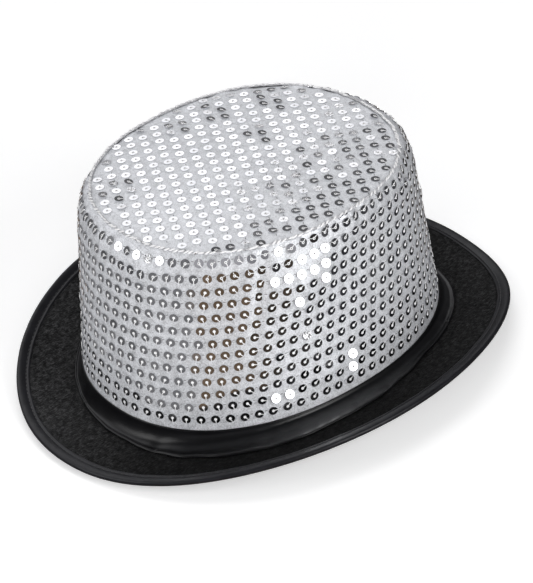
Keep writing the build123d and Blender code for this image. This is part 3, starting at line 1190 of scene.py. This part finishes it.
def makeWallFelt():
    section = twoFaces(-crown["cloth"], -crown["cloth"] - inside["felt"], 30)

    def lay(angle, out, share):
        height = wallHeight(share * wallShare(wallFeltHigh[2]))
        base = crownPoint(angle, crown["foot"])
        if share < 0.2:
            height = max(height, brim["top"] + brimLift(base.x, base.y))
        rough = 0.08 * mm * noise.noise(base * 300 + Vector((0, 0, share * 40)))
        return crownPoint(angle, height, out + rough)

    felt = ringSolid("crownSideFelt", inside["around"], section, lay)
    finishPiece(felt, 60, "felt", brushedFeltWithPaintedShade, ["crown_side_felt"])


def makeTipFelt():
    low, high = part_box("crown_tip_felt")
    rows = [share / 20 for share in range(20)] + [0.97]
    section = [(1.0 - share, 1) for share in rows] + [(1.0 - share, 0) for share in reversed(rows)]

    def lay(angle, out, top):
        x, y = ovalPoint(high[1] * out, high[0] * out, angle, crown["squareness"])
        dome = (high[2] - low[2] - inside["tipFelt"]) * (1 - out * out)
        return Vector((x, y, low[2] + top * inside["tipFelt"] + dome - 0.1 * mm))

    felt = ringSolid("crownTipFelt", 128, section, lay)
    # the innermost ring closes to a point
    for vertex in felt.data.vertices:
        if math.hypot(vertex.co.x, vertex.co.y) < high[1] * 0.04:
            vertex.co.x = 0
            vertex.co.y = 0
    mergeDoubles(felt)
    finishPiece(felt, 50, "felt", brushedFeltWithPaintedShade, ["crown_tip_felt"])


def makeSweatband():
    inset = -crown["cloth"] - inside["felt"]
    outer = inset - 0.1 * mm
    section = twoFaces(outer, outer - inside["lining"], 12)

    def lay(angle, out, share):
        base = crownPoint(angle, crown["foot"], out)
        bottom = brim["tape"] + brimLift(base.x, base.y) + 0.1 * mm
        height = bottom + (liningHigh[2] - bottom) * share
        slack = 0.5 * mm * noise.noise(base * 30 + Vector((0, 0, share))) * share
        return crownPoint(angle, height, out - abs(slack))

    band = ringSolid("sweatbandRibbon", inside["around"], section, lay)
    finishPiece(band, 60, "sweatband_ribbon", ribbedRibbon, ["sweatband"])
    places = []
    for number in range(inside["stitches"]):
        angle = fullTurn * number / inside["stitches"]
        base = crownPoint(angle, crown["foot"], inset)
        height = brim["tape"] + brimLift(base.x, base.y) + inside["stitchUp"]
        point = crownPoint(angle, height, inset - 1.0 * mm)
        along = crownPoint(angle + 0.01, height) - crownPoint(angle - 0.01, height)
        places.append((point, -outwardFrom(point), along.normalized()))
    sew("sweatbandThread", 2.6 * mm, 0.2 * mm, places, black, ["sweatband_thread"])


def makeBackSeam():
    places = []
    height = bandHigh[2] + 3 * mm
    while height < crown["seam"] - 3 * mm:
        point = clothPoint(math.pi / 2, height)
        facing, along = wallFacing(math.pi / 2, height)
        lean = 0.5 if len(places) % 2 else -0.5
        places.append((point + facing * 0.25 * mm, facing, facing.cross(along) + along * lean))
        height += 2.6 * mm
    sew("backSeamThread", 2.4 * mm, 0.2 * mm, places, white, ["side_back_seam_thread"])


makeWallFelt()
makeTipFelt()
makeSweatband()
makeBackSeam()
print("inside made")

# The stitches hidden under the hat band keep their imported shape
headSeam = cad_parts["head_seam_thread"]
headSeam.data.materials.clear()
headSeam.data.materials.append(blackThread)


# Where each light is, as (azimuth, elevation), how far, how large, and whether the hat mirrors it
studio = {
    "key": {"way": (40, 20), "distance": 1.6, "size": (1.0, 0.9), "watts": 11, "mirrored": False},
    "side": {"way": sideLight, "distance": 1.4, "size": (0.5, 1.3), "watts": 12.5, "mirrored": True},
    "left": {"way": (-15, 25), "distance": 1.6, "size": (0.8, 0.8), "watts": 6, "mirrored": True},
    "top": {"way": (235, 65), "distance": 1.6, "size": (1.0, 1.0), "watts": 7, "mirrored": False},
}
lightAim = 60 * mm
# the floor glows: painted light that brightens the hat's wall from below
floorGlow = 0.35


def makeFloor():
    clearSelection()
    bpy.ops.mesh.primitive_plane_add(size=14, location=(0, 0, -0.2 * mm))
    floor = bpy.context.object
    floor.name = "floor"
    paper = {"Roughness": 0.9, "Base_Color": (0.86, 0.86, 0.86, 1)}
    # the glow is painted light from the floor, not a lamp
    glow = {"Emission_Color": (1, 1, 1, 1), "Emission_Strength": floorGlow}
    floor.data.materials.append(newMaterial("floorPaper", **paper, **glow)[0])
    floor.visible_glossy = False


def makeLights():
    for name, lamp in studio.items():
        way = wayTo(*lamp["way"])
        clearSelection()
        bpy.ops.object.light_add(type="AREA", location=way * lamp["distance"] + upward * lightAim)
        light = bpy.context.object
        light.name = name + "Softbox"
        light.rotation_euler = way.to_track_quat("Z", "Y").to_euler()
        light.data.shape = "RECTANGLE"
        light.data.size, light.data.size_y = lamp["size"]
        light.data.energy = lamp["watts"]
        light.visible_glossy = lamp["mirrored"]


def makeSurroundings():
    world = bpy.data.worlds.new("studioRoom")
    bpy.context.scene.world = world
    world.use_nodes = True
    background = world.node_tree.nodes["Background"]
    place = addNode(background, "ShaderNodeTexCoord")
    # white screen behind and to the left of the hat, dark room elsewhere, brown floor in front
    behind = -wayTo(camera["azimuth"], 0)
    level = wayTo(camera["azimuth"] + 90, 0)

    def project(way):
        node = addNode(background, "ShaderNodeVectorMath", operation="DOT_PRODUCT")
        join(place.outputs["Generated"], node.inputs[0])
        node.inputs[1].default_value = way
        return node.outputs["Value"]

    def step(value, low, high, rising=True):
        node = addNode(background, "ShaderNodeMapRange", interpolation_type="SMOOTHSTEP")
        node.inputs["From Min"].default_value = low
        node.inputs["From Max"].default_value = high
        node.inputs["To Min"].default_value = float(not rising)
        node.inputs["To Max"].default_value = float(rising)
        join(value, node.inputs["Value"])
        return node.outputs["Result"]

    def both(first, second):
        node = addNode(background, "ShaderNodeMath", operation="MULTIPLY")
        join(first, node.inputs[0])
        join(second, node.inputs[1])
        return node.outputs["Value"]

    def blend(factor, first, second):
        node = addNode(background, "ShaderNodeMix", data_type="RGBA")
        join(factor, node.inputs["Factor"])
        for socket, value in ((node.inputs[6], first), (node.inputs[7], second)):
            if isinstance(value, tuple):
                socket.default_value = (*value, 1)
            else:
                join(value, socket)
        return node.outputs[2]

    height = project(upward)
    slanted = project(level + upward * 0.515)
    screen = both(step(slanted, 0.33, 0.355, rising=False), step(project(behind), 0.05, 0.25))
    screen = both(both(screen, step(height, 0.30, 0.42)), step(height, 0.84, 0.92, rising=False))
    window = both(step(height, -0.06, 0.1), step(height, 0.35, 0.5, rising=False))
    window = both(step(project(-behind), 0.55, 0.9), window)
    room = blend(window, (0.11, 0.11, 0.115), (0.36, 0.36, 0.38))
    room = blend(screen, room, (1.35, 1.35, 1.38))
    across = addNode(background, "ShaderNodeMapRange")
    across.inputs["From Min"].default_value = -1.0
    join(project(level), across.inputs["Value"])
    table = addRamp(across.outputs["Result"], tableTones)
    mirrored = blend(step(height, -0.16, -0.06, rising=False), room, table)
    path = addNode(background, "ShaderNodeLightPath")
    soft = blend(path.outputs["Is Diffuse Ray"], mirrored, (0.20, 0.20, 0.205))
    seen = blend(path.outputs["Is Camera Ray"], soft, (0.95, 0.95, 0.95))
    join(seen, background.inputs["Color"])


# What the sequins on the wall mirror of the table, from the left to the right
tableTones = [
    (0.0, (0.08, 0.08, 0.085)),
    (0.04, (0.12, 0.12, 0.125)),
    (0.10, (0.18, 0.18, 0.187)),
    (0.28, (0.19, 0.19, 0.197)),
    (0.32, (0.16, 0.115, 0.08)),
    (0.62, (0.12, 0.086, 0.06)),
    (0.72, (0.045, 0.037, 0.03)),
    (0.9, (0.03, 0.03, 0.034)),
    (1.0, (0.09, 0.09, 0.095)),
]

makeFloor()
makeLights()
makeSurroundings()
bpy.context.scene.view_settings.view_transform = "Standard"
print("studio set")
